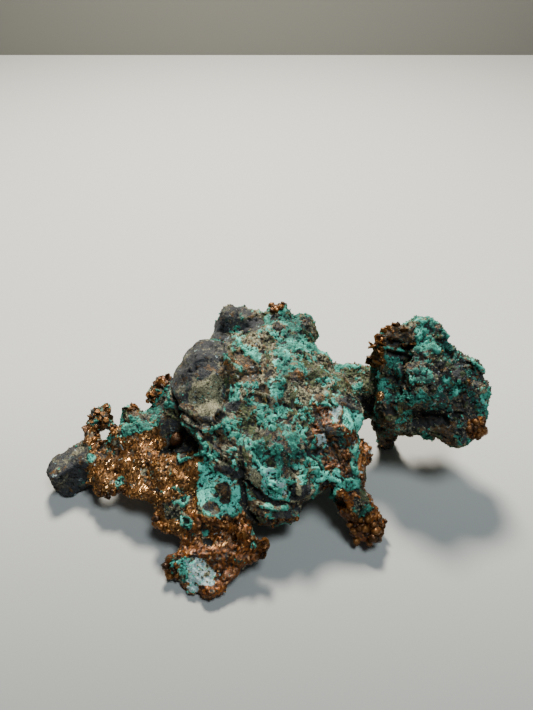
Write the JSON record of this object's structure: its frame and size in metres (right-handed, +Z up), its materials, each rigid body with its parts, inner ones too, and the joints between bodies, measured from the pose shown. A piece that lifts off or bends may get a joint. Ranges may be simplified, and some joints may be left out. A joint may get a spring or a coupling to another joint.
{
  "type": "native copper nugget",
  "caption": "Ragged native copper nugget with green crust and dark host rock: a sloping hump, a flat copper sheet and apron, a leg, and a craggy knob on a short neck.",
  "frame": {"origin": "middle of the base of the whole nugget, on the surface that it rests on", "axes": "+Z up from the resting surface, +X towards the knob on its neck, -Y towards the copper apron and its foot"},
  "size_m": [0.1174, 0.0715, 0.0451],
  "materials": {
    "copper_nugget": "rough mineral crust with bare metallic copper"
  },
  "bodies": {
    "root": {"copper_nugget": "copper_nugget"}
  },
  "joints": []
}
